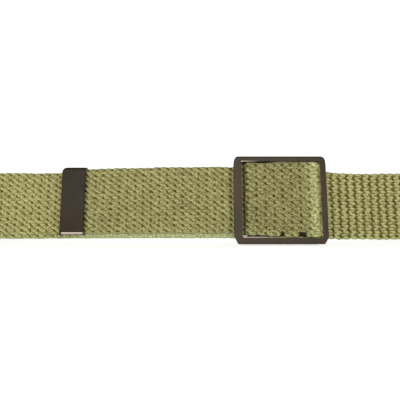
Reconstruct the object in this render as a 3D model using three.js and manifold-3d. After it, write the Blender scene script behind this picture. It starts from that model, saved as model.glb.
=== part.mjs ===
// A fastened web belt: one length of flat webbing, a frame buckle with a sliding bar behind
// its window, a clamp for the webbing's fixed end and a metal tip on its free end.
//
// Millimetres, +Z up. The closed loop stands on the webbing's edge, with the buckle in front,
// towards -Y. The origin is at the middle of the footprint. In front of the loop, a depth is
// counted forwards, towards -Y, from the middle of the webbing that lies under the free end.

import * as THREE from 'three';
import { mergeVertices } from 'three/addons/utils/BufferGeometryUtils.js';
import Module from 'manifold-3d';

// Webbing
const WEB_LENGTH = 1118;
const WEB_WIDTH = 32;
const WEB_THICKNESS = 2.2;
const WEB_EDGE_CHAMFER = 0.4;

// Space between pieces that lie on each other, and past each side of the webbing in the window
const GAP = 0.3;
const WINDOW_CLEARANCE = 0.4;

// The loop in plan: a straight front, two tight side arcs and one wide back arc
const FRONT_HALF_LENGTH = 100;
const SIDE_ARC_TURN = THREE.MathUtils.degToRad(150);

// The frame of the buckle: a pressed plate with a window and two flanges turned back
const FRAME_CENTRE_X = 38.4;
const FRAME_SHEET = 1.2;
const WINDOW_LENGTH = 37.3;
const WINDOW_CORNER_RADIUS = 1;
const LEFT_BAR = 3.8;
const RIGHT_BAR = 3.3;
const TOP_BAR = 2.65;
const BOTTOM_BAR = 3.05;
const FRAME_FOLD_RADIUS = 1;
const LOWER_CORNER_LENGTH = 1.9;
const LOWER_CORNER_HEIGHT = 3.4;
const UPPER_CORNER_LENGTH = 2.8;
const UPPER_CORNER_HEIGHT = 4.2;
const FLANGE_SET_IN = 3;
const FLANGE_CORNER = 2;
const FLANGE_BEYOND_CLAMP = 1.4;

// The sliding bar, in slots of the flanges
const SLIDE_BAR_RADIUS = 1.75;
const SLIDE_PIN_RADIUS = 1.2;
const SLIDE_BAR_BEHIND_FACE = 4.5;
const SLIDE_BAR_TRAVEL = 8;
const TURN_IN_ANGLE = THREE.MathUtils.degToRad(80);

// The clamp of the fixed end
const CLAMP_SHEET = 0.8;
const CLAMP_LENGTH = 17.5;
const CLAMP_SET_IN = 1;

// How far right of the window's left edge the webbing starts to narrow, and then to dive
// under the left bar
const NARROWING_LENGTH = 19;
const DIVE_LENGTH = 4.5;

// The free end, from the frame's left edge to the far end of its tip
const FREE_END_LENGTH = 82.9;
const FREE_END_LIFT = 2.4;
const FREE_END_DROOP = 0.7;
const FREE_END_SETTLE = 20;
const TIP_LENGTH = 11.1;
const TIP_SHEET = 0.5;
const TIP_TOP_CORNER = 2.6;
const TIP_BOTTOM_CORNER = 0.8;
const TIP_EDGE_RADIUS = 1.5;

// Right of the buckle the webbing hangs a little lower than left of it. How far before the
// frame it starts to rise and widen, how far it has risen at the frame and where it turns
// forward, and its widths as shares of its own width: it is pulled wide over the sliding bar.
const SAG_AT_RIGHT_SIDE = 0.5;
const RISE_LENGTH = 13;
const RISE_AT_RIGHT_BAR = 0.25;
const RISE_BEHIND_RIGHT_BAR = 2.35;
const WIDTH_AT_RIGHT_SIDE = 1.015;
const WIDTH_AT_RIGHT_BAR = 1.04;
const WIDTH_BEHIND_RIGHT_BAR = 1.115;
const WIDTH_OVER_SLIDE_BAR = 1.12;
const WIDTH_AT_DIVE = 1.065;
const WIDTH_AT_LEFT_BAR = 1.05;
const WIDTH_AT_TIP = 0.98;

// Facets
const TURN_STEP = THREE.MathUtils.degToRad(5);
const LENGTH_STEP = 25;
const CORNER_SEGMENTS = 5;
const ROUND_SEGMENTS = 16;
const MERGE_TOLERANCE = 0.0001;

// Depths of the pieces that lie on each other under the frame's left bar
const webHalf = WEB_THICKNESS / 2;
const clampFront = webHalf + GAP + CLAMP_SHEET;
const upperDepth = clampFront + GAP + webHalf;
const frameBack = upperDepth + webHalf + GAP;
const frameFront = frameBack + FRAME_SHEET;
const tipDepth = webHalf + GAP + TIP_SHEET + GAP + webHalf;
const flangeBack = -clampFront - FLANGE_BEYOND_CLAMP;

// Heights of the frame, its window and the webbing
const windowHeight = WEB_WIDTH * WIDTH_OVER_SLIDE_BAR + 2 * WINDOW_CLEARANCE;
const frameHeight = BOTTOM_BAR + windowHeight + TOP_BAR;
const flangeRoom = frameHeight - 2 * FRAME_SHEET;
const upperHeight = BOTTOM_BAR + windowHeight / 2;
const lowerHeight = upperHeight - FREE_END_LIFT;
const rightHeight = lowerHeight - SAG_AT_RIGHT_SIDE;
const backHeight = WEB_WIDTH / 2;
const tipHeight = upperHeight - FREE_END_DROOP;

// Places along the front, from left to right
const frameLength = LEFT_BAR + WINDOW_LENGTH + RIGHT_BAR;
const frameLeft = FRAME_CENTRE_X - frameLength / 2;
const frameRight = frameLeft + frameLength;
const windowLeft = frameLeft + LEFT_BAR;
const windowRight = frameRight - RIGHT_BAR;
const tipLeft = frameLeft - FREE_END_LENGTH;
const freeEnd = tipLeft + TIP_TOP_CORNER + GAP;
const clampLeft = frameLeft + FLANGE_SET_IN + CLAMP_SET_IN;
const fixedEnd = clampLeft + CLAMP_LENGTH - CLAMP_SHEET - GAP;

// The sliding bar lies where the webbing round it just passes the frame's right bar
const slideDepth = frameFront - SLIDE_BAR_BEHIND_FACE;
const wrapRadius = SLIDE_BAR_RADIUS + GAP + webHalf;
const wrapOuterRadius = wrapRadius + webHalf + GAP;
const slideX = windowRight - Math.sqrt(wrapOuterRadius ** 2 - (frameBack - slideDepth) ** 2);
const crestDepth = slideDepth + wrapRadius;
const turnInRadius = crestDepth / (1 - Math.cos(TURN_IN_ANGLE)) - wrapRadius;
const turnInStart = slideX + (turnInRadius + wrapRadius) * Math.sin(TURN_IN_ANGLE);

const wasm = await Module();
wasm.setup();

// A step of the webbing's route in plan, with the width and height that it ends with.
// A turn is in radians, to the left seen from above.
function step(length, turn, width, height) {
  return { length, turn, width, height };
}

// Two opposite arcs that move the route sideways by a small shift over a run
function sway(run, shift, width, height) {
  const turn = 2 * Math.atan(shift / run);
  const length = Math.abs(turn) * run / (2 * Math.sin(Math.abs(turn)));
  return [step(length, turn, width, height), step(length, -turn, width, height)];
}

function lengthOf(steps) {
  return steps.reduce((sum, each) => sum + each.length, 0);
}

// The route from the fixed end: left along the front, round the loop, in behind the right
// bar, over the sliding bar, under the left bar and on to the free end
const wideOverBar = WEB_WIDTH * WIDTH_OVER_SLIDE_BAR;
const wideAtLeftBar = WEB_WIDTH * WIDTH_AT_LEFT_BAR;
const wideAtRightSide = WEB_WIDTH * WIDTH_AT_RIGHT_SIDE;
const wideAtRightBar = WEB_WIDTH * WIDTH_AT_RIGHT_BAR;
const wideBehindBar = WEB_WIDTH * WIDTH_BEHIND_RIGHT_BAR;
const wideAtDive = WEB_WIDTH * WIDTH_AT_DIVE;
const wideAtTip = WEB_WIDTH * WIDTH_AT_TIP;
const overBarRun = slideX - windowLeft - NARROWING_LENGTH;
const turnInLength = turnInRadius * TURN_IN_ANGLE;
const turnInHeight = lowerHeight + RISE_BEHIND_RIGHT_BAR;
const frontStart = step(fixedEnd + FRONT_HALF_LENGTH, 0, WEB_WIDTH, lowerHeight);
const settled = frameLeft - FREE_END_SETTLE;
const closing = [
  step(FRONT_HALF_LENGTH - turnInStart - RISE_LENGTH, 0, wideAtRightSide, rightHeight),
  step(RISE_LENGTH, 0, wideAtRightBar, lowerHeight + RISE_AT_RIGHT_BAR),
  step(turnInLength, TURN_IN_ANGLE, wideBehindBar, turnInHeight),
  step(wrapRadius * TURN_IN_ANGLE, -TURN_IN_ANGLE, wideOverBar, upperHeight),
  step(overBarRun, 0, wideOverBar, upperHeight),
  step(NARROWING_LENGTH - DIVE_LENGTH, 0, wideAtDive, upperHeight),
  ...sway(DIVE_LENGTH, upperDepth - crestDepth, wideAtLeftBar, upperHeight),
  step(LEFT_BAR, 0, WEB_WIDTH, upperHeight),
  ...sway(FREE_END_SETTLE, tipDepth - upperDepth, WEB_WIDTH, upperHeight),
  step(settled - freeEnd, 0, wideAtTip, tipHeight),
];

// The arcs take what is left of the webbing's length
const arcLength = WEB_LENGTH - frontStart.length - lengthOf(closing);
const halfBackTurn = Math.PI - SIDE_ARC_TURN;
const backBeyondSide = FRONT_HALF_LENGTH / Math.sin(halfBackTurn);
const sideRadius = (arcLength - 2 * halfBackTurn * backBeyondSide) / (2 * Math.PI);
const backRadius = sideRadius + backBeyondSide;
const loopDepth = sideRadius - FRONT_HALF_LENGTH / Math.tan(halfBackTurn) + backRadius;
const frontMost = Math.max(crestDepth + webHalf, frameFront);
const frontY = (frontMost - webHalf - loopDepth) / 2;

const route = [
  frontStart,
  step(sideRadius * SIDE_ARC_TURN, -SIDE_ARC_TURN, WEB_WIDTH, backHeight),
  step(backRadius * 2 * halfBackTurn, -2 * halfBackTurn, WEB_WIDTH, backHeight),
  step(sideRadius * SIDE_ARC_TURN, -SIDE_ARC_TURN, wideAtRightSide, rightHeight),
  ...closing,
];

// Stations along the route: place, heading, width and height. Widths and heights ease from
// the end of one step to the end of the next, and each step has a station at its middle.
function stationsOf(steps, x, y, heading) {
  const stations = [{ x, y, heading, width: steps[0].width, height: steps[0].height }];
  for (const each of steps) {
    const before = stations[stations.length - 1];
    const atLeast = Math.max(Math.abs(each.turn) / TURN_STEP, each.length / LENGTH_STEP);
    const count = 2 * Math.ceil(atLeast / 2);
    for (let i = 1; i <= count; i += 1) {
      const last = stations[stations.length - 1];
      const bend = each.turn / count;
      const chordHeading = last.heading + bend / 2;
      const half = bend / 2;
      const chord = each.length / count * (half === 0 ? 1 : Math.sin(half) / half);
      const ease = THREE.MathUtils.smoothstep(i / count, 0, 1);
      stations.push({
        x: last.x + chord * Math.cos(chordHeading),
        y: last.y + chord * Math.sin(chordHeading),
        heading: last.heading + bend,
        width: THREE.MathUtils.lerp(before.width, each.width, ease),
        height: THREE.MathUtils.lerp(before.height, each.height, ease),
      });
    }
  }
  return stations;
}

// The webbing's section, as sideways and upward distances from its middle, with its four
// long edges cut back
function webSection(width) {
  const corners = [[1, -1], [1, 1], [-1, 1], [-1, -1]];
  const cut = WEB_EDGE_CHAMFER;
  return corners.flatMap(([side, up]) => {
    const besideEdge = [side * webHalf, up * (width / 2 - cut)];
    const atEdge = [side * (webHalf - cut), up * width / 2];
    return side === up ? [besideEdge, atEdge] : [atEdge, besideEdge];
  });
}

function webGeometry() {
  const stations = stationsOf(route, fixedEnd, frontY, Math.PI);
  const ring = webSection(WEB_WIDTH).length;
  const positions = [];
  for (const { x, y, heading, width, height } of stations) {
    for (const [side, up] of webSection(width)) {
      positions.push(x - side * Math.sin(heading), y + side * Math.cos(heading), height + up);
    }
  }
  const index = [];
  for (let i = 0; i + 1 < stations.length; i += 1) {
    for (let k = 0; k < ring; k += 1) {
      const a = i * ring + k;
      const b = i * ring + (k + 1) % ring;
      index.push(a, b, b + ring, a, b + ring, a + ring);
    }
  }
  const lastRing = (stations.length - 1) * ring;
  for (let k = 1; k + 1 < ring; k += 1) {
    index.push(0, k + 1, k);
    index.push(lastRing, lastRing + k, lastRing + k + 1);
  }
  const geometry = new THREE.BufferGeometry();
  geometry.setAttribute('position', new THREE.Float32BufferAttribute(positions, 3));
  geometry.setIndex(index);
  geometry.computeVertexNormals();
  return geometry;
}

// The metal pieces are drawn from the front, as distance along the belt, height and depth

function solidOf(geometry) {
  geometry.deleteAttribute('normal');
  geometry.deleteAttribute('uv');
  const merged = mergeVertices(geometry, MERGE_TOLERANCE);
  return new wasm.Manifold(new wasm.Mesh({
    numProp: 3,
    vertProperties: new Float32Array(merged.attributes.position.array),
    triVerts: new Uint32Array(merged.index.array),
  }));
}

function geometryOf(solid) {
  const mesh = solid.getMesh();
  const geometry = new THREE.BufferGeometry();
  geometry.setAttribute('position', new THREE.BufferAttribute(mesh.vertProperties, 3));
  geometry.setIndex(new THREE.BufferAttribute(mesh.triVerts, 1));
  geometry.computeVertexNormals();
  return geometry;
}

function plate(shape, back, front) {
  const geometry = new THREE.ExtrudeGeometry(shape, {
    depth: front - back,
    bevelEnabled: false,
    curveSegments: CORNER_SEGMENTS,
  });
  return solidOf(geometry.translate(0, 0, back));
}

function block(left, right, bottom, top, back, front) {
  const geometry = new THREE.BoxGeometry(right - left, top - bottom, front - back);
  return solidOf(geometry.translate((left + right) / 2, (bottom + top) / 2, (back + front) / 2));
}

// A rectangle with a radius for each corner, from the bottom left one round to the top left
function roundedRectangle(left, right, bottom, top, radii) {
  const [bottomLeft, bottomRight, topRight, topLeft] = radii;
  const shape = new THREE.Shape();
  shape.absarc(left + bottomLeft, bottom + bottomLeft, bottomLeft, Math.PI, 1.5 * Math.PI);
  shape.absarc(right - bottomRight, bottom + bottomRight, bottomRight, 1.5 * Math.PI, 2 * Math.PI);
  shape.absarc(right - topRight, top - topRight, topRight, 0, 0.5 * Math.PI);
  shape.absarc(left + topLeft, top - topLeft, topLeft, 0.5 * Math.PI, Math.PI);
  return shape;
}

// A section drawn as depth and height, run along the belt from left to right
function channel(section, left, right) {
  const geometry = new THREE.ExtrudeGeometry(section, {
    depth: right - left,
    bevelEnabled: false,
    curveSegments: CORNER_SEGMENTS,
  });
  return solidOf(geometry.rotateY(-Math.PI / 2).translate(right, 0, 0));
}

// The frame's outline from the front, cut straight at its lower corners and rounded at its
// upper ones, with the window in it
function frameOutline() {
  const outline = new THREE.Shape();
  outline.moveTo(frameLeft + LOWER_CORNER_LENGTH, 0);
  outline.lineTo(frameRight - LOWER_CORNER_LENGTH, 0);
  outline.lineTo(frameRight, LOWER_CORNER_HEIGHT);
  outline.lineTo(frameRight, frameHeight - UPPER_CORNER_HEIGHT);
  outline.quadraticCurveTo(
    frameRight, frameHeight, frameRight - UPPER_CORNER_LENGTH, frameHeight,
  );
  outline.lineTo(frameLeft + UPPER_CORNER_LENGTH, frameHeight);
  outline.quadraticCurveTo(
    frameLeft, frameHeight, frameLeft, frameHeight - UPPER_CORNER_HEIGHT,
  );
  outline.lineTo(frameLeft, LOWER_CORNER_HEIGHT);
  const windowTop = frameHeight - TOP_BAR;
  const cornerRadii = Array(4).fill(WINDOW_CORNER_RADIUS);
  outline.holes.push(
    roundedRectangle(windowLeft, windowRight, BOTTOM_BAR, windowTop, cornerRadii),
  );
  return outline;
}

// The frame's outline from below, as distance along the belt and depth: the face in front,
// and behind it the flanges with the slot for the sliding bar
function frameFootprint() {
  const flangeLeft = frameLeft + FLANGE_SET_IN;
  const flangeRight = frameRight - FLANGE_SET_IN;
  const footprint = new THREE.Shape([
    new THREE.Vector2(frameLeft, frameFront),
    new THREE.Vector2(frameLeft, frameBack),
    new THREE.Vector2(flangeLeft, frameBack),
    new THREE.Vector2(flangeLeft, flangeBack + FLANGE_CORNER),
    new THREE.Vector2(flangeLeft + FLANGE_CORNER, flangeBack),
    new THREE.Vector2(flangeRight - FLANGE_CORNER, flangeBack),
    new THREE.Vector2(flangeRight, flangeBack + FLANGE_CORNER),
    new THREE.Vector2(flangeRight, frameBack),
    new THREE.Vector2(frameRight, frameBack),
    new THREE.Vector2(frameRight, frameFront),
  ]);
  const slotHalf = SLIDE_PIN_RADIUS + GAP;
  const slot = new THREE.Path();
  slot.absarc(slideX - SLIDE_BAR_TRAVEL, slideDepth, slotHalf, 0.5 * Math.PI, 1.5 * Math.PI);
  slot.absarc(slideX, slideDepth, slotHalf, -0.5 * Math.PI, 0.5 * Math.PI);
  footprint.holes.push(slot);
  return footprint;
}

// A folded channel, cut to both outlines
function frameGeometry() {
  const fold = FRAME_FOLD_RADIUS;
  const square = FRAME_SHEET / 2;
  const foldedSection = roundedRectangle(
    flangeBack - FRAME_SHEET, frameFront, 0, frameHeight, [square, fold, fold, square],
  );
  const folded = channel(foldedSection, frameLeft, frameRight);
  const inside = block(
    frameLeft - GAP,
    frameRight + GAP,
    FRAME_SHEET,
    frameHeight - FRAME_SHEET,
    flangeBack - 2 * FRAME_SHEET,
    frameBack,
  );
  const fromFront = plate(frameOutline(), flangeBack - FRAME_SHEET, frameFront + FRAME_SHEET);
  const fromBelow = new THREE.ExtrudeGeometry(frameFootprint(), {
    depth: frameHeight + 2 * GAP,
    bevelEnabled: false,
    curveSegments: CORNER_SEGMENTS,
  });
  const upright = solidOf(fromBelow.rotateX(Math.PI / 2).translate(0, frameHeight + GAP, 0));
  return geometryOf(folded.subtract(inside).intersect(fromFront).intersect(upright));
}

// A barrel between the flanges with a pin at each end that fills its slot's height
function slideBarGeometry() {
  const barrelBottom = FRAME_SHEET + GAP;
  const barrelTop = frameHeight - barrelBottom;
  const profile = [
    new THREE.Vector2(0, 0),
    new THREE.Vector2(SLIDE_PIN_RADIUS, 0),
    new THREE.Vector2(SLIDE_PIN_RADIUS, barrelBottom),
    new THREE.Vector2(SLIDE_BAR_RADIUS, barrelBottom),
    new THREE.Vector2(SLIDE_BAR_RADIUS, barrelTop),
    new THREE.Vector2(SLIDE_PIN_RADIUS, barrelTop),
    new THREE.Vector2(SLIDE_PIN_RADIUS, frameHeight),
    new THREE.Vector2(0, frameHeight),
  ];
  return new THREE.LatheGeometry(profile, ROUND_SEGMENTS).translate(slideX, 0, slideDepth);
}

// A folded channel round the fixed end, open to the left, reaching from flange to flange
function clampGeometry() {
  const bottom = FRAME_SHEET + GAP;
  const top = bottom + flangeRoom - 2 * GAP;
  const right = clampLeft + CLAMP_LENGTH;
  const outside = block(clampLeft, right, bottom, top, -clampFront, clampFront);
  const pocketHalf = webHalf + GAP;
  const pocketRight = right - CLAMP_SHEET;
  const pocket = block(clampLeft - GAP, pocketRight, bottom - GAP, top + GAP, -pocketHalf, pocketHalf);
  return geometryOf(outside.subtract(pocket));
}

// One skin of the tip, drawn in by an inset: rounded along its two long edges, and with its
// far end's corners rounded from the front
function tipSkin(inset, right) {
  const halfHeight = wideAtTip / 2 + GAP + TIP_SHEET - inset;
  const halfDepth = webHalf + GAP + TIP_SHEET - inset;
  const left = tipLeft + inset;
  const bottom = tipHeight - halfHeight;
  const top = tipHeight + halfHeight;
  const back = tipDepth - halfDepth;
  const front = tipDepth + halfDepth;
  const edgeRadii = Array(4).fill(TIP_EDGE_RADIUS - inset);
  const flattened = channel(roundedRectangle(back, front, bottom, top, edgeRadii), left, right);
  const endRadii = [TIP_BOTTOM_CORNER, TIP_TOP_CORNER].map((radius) => radius - inset);
  const square = TIP_SHEET / 2;
  const fromFront = roundedRectangle(
    left, right + TIP_SHEET, bottom, top, [endRadii[0], square, square, endRadii[1]],
  );
  return flattened.intersect(plate(fromFront, back - GAP, front + GAP));
}

function tipGeometry() {
  const right = tipLeft + TIP_LENGTH;
  return geometryOf(tipSkin(0, right).subtract(tipSkin(TIP_SHEET, right + TIP_SHEET)));
}

function named(name, geometry, colour, roughness, metalness) {
  const material = new THREE.MeshStandardMaterial({ color: colour, roughness, metalness });
  const mesh = new THREE.Mesh(geometry, material);
  mesh.name = name;
  return mesh;
}

const canvas = 0x98935f;
const darkBronze = 0x53493d;
const darkSteel = 0x443d34;

const metalwork = new THREE.Group();
metalwork.rotation.x = Math.PI / 2;
metalwork.position.y = frontY;
metalwork.add(
  named('buckle_frame', frameGeometry(), darkBronze, 0.4, 0.8),
  named('slide_bar', slideBarGeometry(), darkSteel, 0.45, 0.8),
  named('end_clamp', clampGeometry(), darkBronze, 0.5, 0.8),
  named('strap_tip', tipGeometry(), darkSteel, 0.35, 0.8),
);

const belt = new THREE.Group();
belt.add(named('webbing', webGeometry(), canvas, 0.95, 0), metalwork);

export default belt;
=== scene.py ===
"""A fastened web belt standing on its edge: woven webbing, a bronzed frame buckle with a sliding
bar behind its window, a clamp on the webbing's fixed end and a metal tip on its free end.

Metres, +Z up, the buckle in front, towards -Y. Depths are counted forwards, towards -Y, from
the middle of the webbing that lies under the free end.
"""

import math

import bpy
import numpy as np
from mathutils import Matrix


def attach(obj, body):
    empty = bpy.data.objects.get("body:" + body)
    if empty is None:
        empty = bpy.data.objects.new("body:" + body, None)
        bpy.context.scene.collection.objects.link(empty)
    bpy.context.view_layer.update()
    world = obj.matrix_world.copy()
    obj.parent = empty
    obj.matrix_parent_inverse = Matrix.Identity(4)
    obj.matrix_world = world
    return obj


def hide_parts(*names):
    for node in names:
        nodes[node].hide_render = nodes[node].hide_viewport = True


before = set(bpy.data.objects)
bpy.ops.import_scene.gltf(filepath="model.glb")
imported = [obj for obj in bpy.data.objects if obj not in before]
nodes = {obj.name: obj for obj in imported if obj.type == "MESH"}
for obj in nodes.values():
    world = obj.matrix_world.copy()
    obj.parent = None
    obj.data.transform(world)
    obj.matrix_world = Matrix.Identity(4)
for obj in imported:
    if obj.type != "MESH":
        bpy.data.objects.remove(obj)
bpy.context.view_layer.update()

MM = 0.001

# Keeps what is raised to a power above zero
JUST_OVER_ONE = 1.0001

# The webbing and its route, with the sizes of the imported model
WEB_LENGTH = 1118 * MM
WEB_WIDTH = 32 * MM
WEB_HALF = 1.1 * MM
GAP = 0.3 * MM
FRONT_HALF_LENGTH = 100 * MM
SIDE_ARC_TURN = math.radians(150)
FRAME_LEFT = 16.2 * MM
FRAME_RIGHT = 60.6 * MM
FRAME_SHEET = 1.2 * MM
LEFT_BAR = 3.8 * MM
RIGHT_BAR = 3.3 * MM
BOTTOM_BAR = 3.05 * MM
WINDOW_CLEARANCE = 0.4 * MM
SLIDE_BAR_RADIUS = 1.75 * MM
SLIDE_BAR_BEHIND_FACE = 4.5 * MM
TURN_IN_ANGLE = math.radians(80)
CLAMP_SHEET = 0.8 * MM
CLAMP_RIGHT = 37.7 * MM
FIXED_END = 36.6 * MM
NARROWING_LENGTH = 19 * MM
DIVE_LENGTH = 4.5 * MM
FREE_END = -63.8 * MM
FREE_END_LIFT = 2.4 * MM
FREE_END_DROOP = 0.7 * MM
FREE_END_SETTLE = 20 * MM
TIP_LEFT = -66.7 * MM
TIP_RIGHT = -55.6 * MM
TIP_SHEET = 0.5 * MM
SAG_AT_RIGHT_SIDE = 0.5 * MM
RISE_LENGTH = 13 * MM
RISE_AT_RIGHT_BAR = 0.25 * MM
RISE_BEHIND_RIGHT_BAR = 2.35 * MM
WIDTH_AT_RIGHT_SIDE = 1.015
WIDTH_AT_RIGHT_BAR = 1.04
WIDTH_BEHIND_RIGHT_BAR = 1.115
WIDTH_OVER_SLIDE_BAR = 1.12
WIDTH_AT_DIVE = 1.065
WIDTH_AT_LEFT_BAR = 1.05
WIDTH_AT_TIP = 0.98

clamp_front = WEB_HALF + GAP + CLAMP_SHEET
upper_depth = clamp_front + GAP + WEB_HALF
frame_back = upper_depth + WEB_HALF + GAP
frame_front = frame_back + FRAME_SHEET
tip_depth = WEB_HALF + GAP + TIP_SHEET + GAP + WEB_HALF
window_height = WEB_WIDTH * WIDTH_OVER_SLIDE_BAR + 2 * WINDOW_CLEARANCE
upper_height = BOTTOM_BAR + window_height / 2
lower_height = upper_height - FREE_END_LIFT
right_height = lower_height - SAG_AT_RIGHT_SIDE
back_height = WEB_WIDTH / 2
tip_height = upper_height - FREE_END_DROOP
tip_bottom = tip_height - WEB_WIDTH * WIDTH_AT_TIP / 2 - GAP - TIP_SHEET
window_left = FRAME_LEFT + LEFT_BAR
window_right = FRAME_RIGHT - RIGHT_BAR
slide_depth = frame_front - SLIDE_BAR_BEHIND_FACE
wrap_radius = SLIDE_BAR_RADIUS + GAP + WEB_HALF
wrap_outer = wrap_radius + WEB_HALF + GAP
slide_x = window_right - math.sqrt(wrap_outer**2 - (frame_back - slide_depth) ** 2)
crest_depth = slide_depth + wrap_radius
turn_in_radius = crest_depth / (1 - math.cos(TURN_IN_ANGLE)) - wrap_radius
turn_in_start = slide_x + (turn_in_radius + wrap_radius) * math.sin(TURN_IN_ANGLE)


def sway(run, shift, width, height):
    """Two opposite arcs that move the route sideways by a small shift over a run."""
    turn = 2 * math.atan(shift / run)
    length = abs(turn) * run / (2 * math.sin(abs(turn)))
    return [(length, turn, width, height), (length, -turn, width, height)]


# Steps of the route in plan: length, turn to the left, and the width and height at the end
wide_over_bar = WEB_WIDTH * WIDTH_OVER_SLIDE_BAR
wide_at_dive = WEB_WIDTH * WIDTH_AT_DIVE
wide_at_left_bar = WEB_WIDTH * WIDTH_AT_LEFT_BAR
wide_at_right_side = WEB_WIDTH * WIDTH_AT_RIGHT_SIDE
wide_at_right_bar = WEB_WIDTH * WIDTH_AT_RIGHT_BAR
wide_behind_bar = WEB_WIDTH * WIDTH_BEHIND_RIGHT_BAR
wide_at_tip = WEB_WIDTH * WIDTH_AT_TIP
turn_in_length = turn_in_radius * TURN_IN_ANGLE
turn_in_height = lower_height + RISE_BEHIND_RIGHT_BAR
over_bar_run = slide_x - window_left - NARROWING_LENGTH
front_start = (FIXED_END + FRONT_HALF_LENGTH, 0, WEB_WIDTH, lower_height)
closing = [
    (FRONT_HALF_LENGTH - turn_in_start - RISE_LENGTH, 0, wide_at_right_side, right_height),
    (RISE_LENGTH, 0, wide_at_right_bar, lower_height + RISE_AT_RIGHT_BAR),
    (turn_in_length, TURN_IN_ANGLE, wide_behind_bar, turn_in_height),
    (wrap_radius * TURN_IN_ANGLE, -TURN_IN_ANGLE, wide_over_bar, upper_height),
    (over_bar_run, 0, wide_over_bar, upper_height),
    (NARROWING_LENGTH - DIVE_LENGTH, 0, wide_at_dive, upper_height),
    *sway(DIVE_LENGTH, upper_depth - crest_depth, wide_at_left_bar, upper_height),
    (LEFT_BAR, 0, WEB_WIDTH, upper_height),
    *sway(FREE_END_SETTLE, tip_depth - upper_depth, WEB_WIDTH, upper_height),
    (FRAME_LEFT - FREE_END_SETTLE - FREE_END, 0, wide_at_tip, tip_height),
]
arc_length = WEB_LENGTH - front_start[0] - sum(each[0] for each in closing)
half_back_turn = math.pi - SIDE_ARC_TURN
back_beyond_side = FRONT_HALF_LENGTH / math.sin(half_back_turn)
side_radius = (arc_length - 2 * half_back_turn * back_beyond_side) / (2 * math.pi)
back_radius = side_radius + back_beyond_side
loop_depth = side_radius - FRONT_HALF_LENGTH / math.tan(half_back_turn) + back_radius
front_y = (max(crest_depth + WEB_HALF, frame_front) - WEB_HALF - loop_depth) / 2
route = [
    front_start,
    (side_radius * SIDE_ARC_TURN, -SIDE_ARC_TURN, WEB_WIDTH, back_height),
    (back_radius * 2 * half_back_turn, -2 * half_back_turn, WEB_WIDTH, back_height),
    (side_radius * SIDE_ARC_TURN, -SIDE_ARC_TURN, wide_at_right_side, right_height),
    *closing,
]

# Lengths along the webbing at which the front's parts begin
lengths = np.cumsum([0] + [each[0] for each in route])
front_left_end = lengths[1]
front_right_start = lengths[4]
turn_in_at = lengths[6]
over_bar_at = lengths[7]
left_bar_at = lengths[12]
left_bar_end = lengths[13]

# The weave: picks cross the webbing, and rows of warp run along it
PICK = 1.925 * MM
PICK_OVER_BAR = 2.1 * MM
PICK_START = -0.95
ROWS = 23
RELIEF = 0.17 * MM
FACE_DEPTH = 0.2 * MM
ROW_SHARES = (-1, -0.42, 0.42)
RIB_GROOVE = 0.16 * MM
RIBS_BEGIN = 160 * MM
RIBS_FULL = 30 * MM

# The crowns: how they lean and crowd, and how deep the troughs and seams round them are, as
# shares of a crown's height
LEAN = -0.8
LEAN_IN_WINDOW = -0.5
LEAN_ON_RIGHT = 0.9
CROWDING_ON_RIGHT = 0.25
SKEW = 0.7
TROUGH = 0.6
ODD_TROUGH_SHALLOWER = 0.31
ODD_TROUGH_ON_RIGHT = 0.21
SEAM = 0.3
SEAM_IN_WINDOW = 0.1
SEAM_ON_RIGHT = 0.4
SEAM_FADES_BY_CROWN = 0.4
ODD_ROW_LOWER = 0.08
CROWN_JITTER = 0.3

# Rings of points for each pick, where the webbing shows, is covered or lies behind
RINGS_IN_SIGHT = 4
RINGS_COVERED = 2
RINGS_BEHIND = 1
SEEN_LEFT_LENGTH = 46 * MM
SEEN_PAST_LEFT = 6 * MM
SEEN_PAST_RIGHT = 4 * MM
PITCH_EASE = 6 * MM
MARKS = 20001

# The long edges and the face wander in low waves: height and length of each
WANDER_SEED = 7
WANDER_WAVES = ((0.16 * MM, 23 * MM), (0.10 * MM, 9.5 * MM), (0.07 * MM, 4.1 * MM))
JITTER_SEED = 12
SCALLOP = 0.17 * MM
INNER_WAVE = 0.12 * MM
EDGE_ROUNDING = 0.35 * MM

# The section: its faces stop short of its edges, whose points stand before and behind the
# middle, and over the sliding bar it is drawn flatter
FACE_INSET = 0.1 * MM
EDGE_BEYOND = 0.05 * MM
EDGE_FRONT = 0.25 * MM
EDGE_BACK = -0.35 * MM
INNER_DEPTH = 0.20 * MM
FLATTER_OVER_BAR = 0.4
OUT_OVER_BAR = 0.15 * MM
DRIFT = 0.6
FACE_DRIFT = 0.25

# Where the lower edge stands up in the window and leaves dark places, from and to in x
NOTCHES = ((37.9 * MM, 40 * MM), (46.4 * MM, 50.4 * MM))
NOTCH_LIFT = 1.2 * MM

# How far the webbing's edges reach up or down in the window, how far its lower edge bulges
# under the free end, and how far it is pressed forward as it turns over the bar
LOWER_REACH = 0.3 * MM
UPPER_REACH_AT_LEFT = 0.75 * MM
UPPER_REACH_NEAR_BAR = 0.25 * MM
BEHIND_BAR_LIFT = 0.8 * MM
BULGE = 0.1 * MM
BULGE_UNDER_FREE_END = 0.5 * MM
PRESSED_AT_TURN = 0.62 * MM
PRESSED_LESS_AFTER = 0.35 * MM

# Painted shade beside the metal, where the webbing bends past the bars and the tip: the stretch
# it is in, from and to in x, how soft the ends are, and how far its pits and its tint are painted
# darker there
SHADE_BESIDE_METAL = [
    ("free", FRAME_LEFT - 2.4 * MM, FRAME_LEFT - 0.6 * MM, 0.5 * MM, 1.0, 0.30),
    ("window", window_left + 0.8 * MM, window_left + 2.4 * MM, 0.5 * MM, 1.0, 0.80),
    ("lower", TIP_LEFT - 4 * MM, TIP_LEFT + MM, 1.5 * MM, 0.7, 0.12),
    ("free", TIP_RIGHT - MM, TIP_RIGHT + 0.9 * MM, 0.4 * MM, 2.0, 0.45),
]
# How far the pits are painted darker, as shade, beside the right bar
PITS_SHADED_BY_RIGHT_BAR = 0.6
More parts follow.
